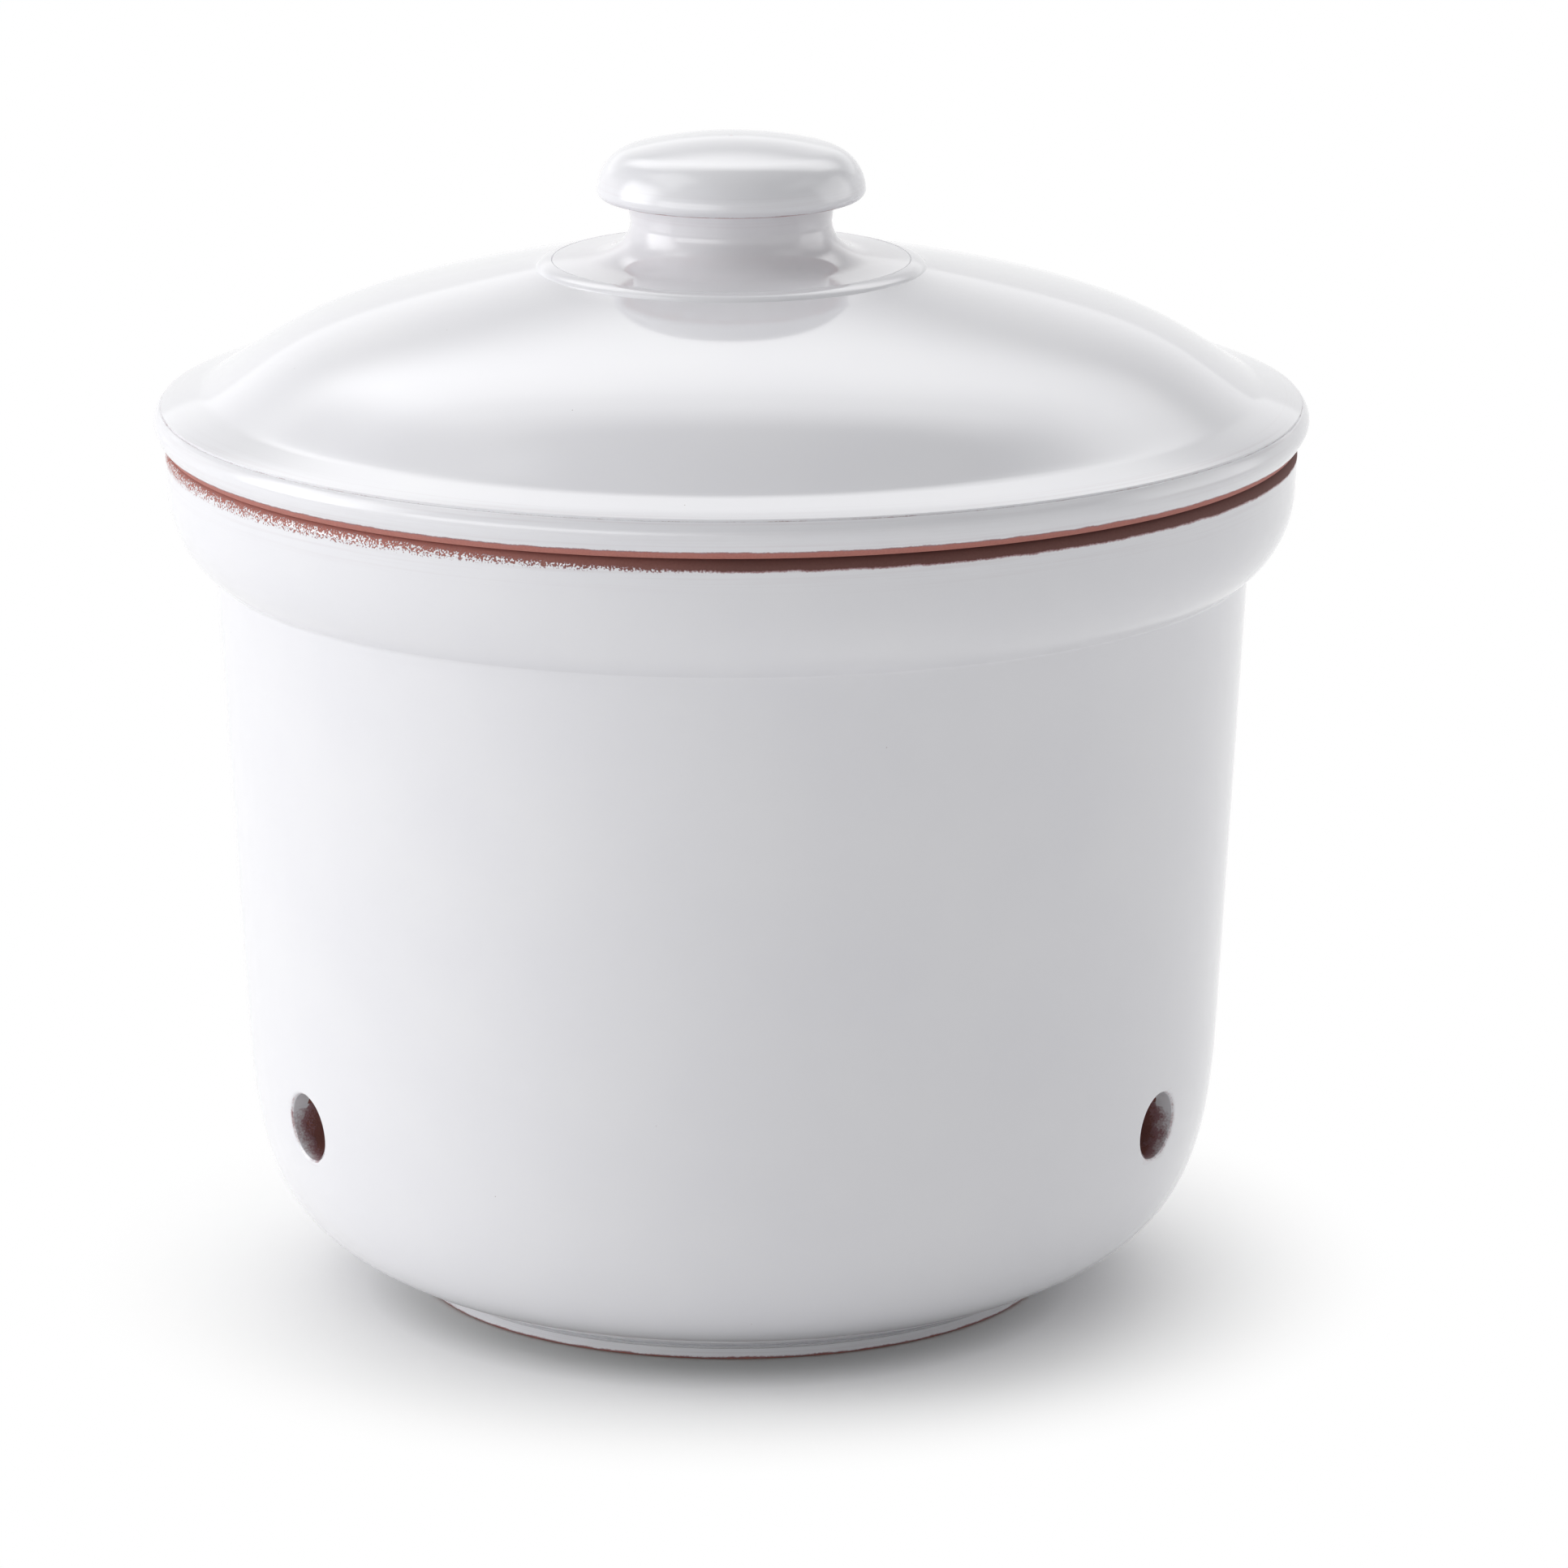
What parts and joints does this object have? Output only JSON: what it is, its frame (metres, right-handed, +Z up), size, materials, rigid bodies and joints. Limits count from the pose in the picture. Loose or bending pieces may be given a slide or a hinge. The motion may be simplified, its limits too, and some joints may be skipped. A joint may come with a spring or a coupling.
{
  "type": "ventilated storage pot",
  "caption": "Round white-glazed clay storage pot with air vents low in its wall and a domed lid that lifts off by a mushroom knob.",
  "frame": {"origin": "centre of the foot ring, on the surface that the pot stands on", "axes": "+Z up along the pot's axis; -Y is the front, with a vent 60 degrees to each side of it and one vent at the back, +Y"},
  "size_m": [0.25, 0.25, 0.2534],
  "materials": {
    "pot_glaze": "glossy white glaze over red clay, bare clay inside, on the rim and on the foot",
    "lid_glaze": "glossy white glaze over red clay, bare clay underneath and along the lower edge",
    "knob_glaze": "glossy white glaze over red clay, thin and reddish along the lip"
  },
  "bodies": {
    "pot": {"pot": "pot_glaze"},
    "lid": {"lid": "lid_glaze", "lid_knob": "knob_glaze"}
  },
  "joints": [
    {"name": "lid_lift", "type": "slide", "parent": "pot", "child": "lid", "axis": [0, 0, 1], "range_m": [0, 0.1]}
  ]
}
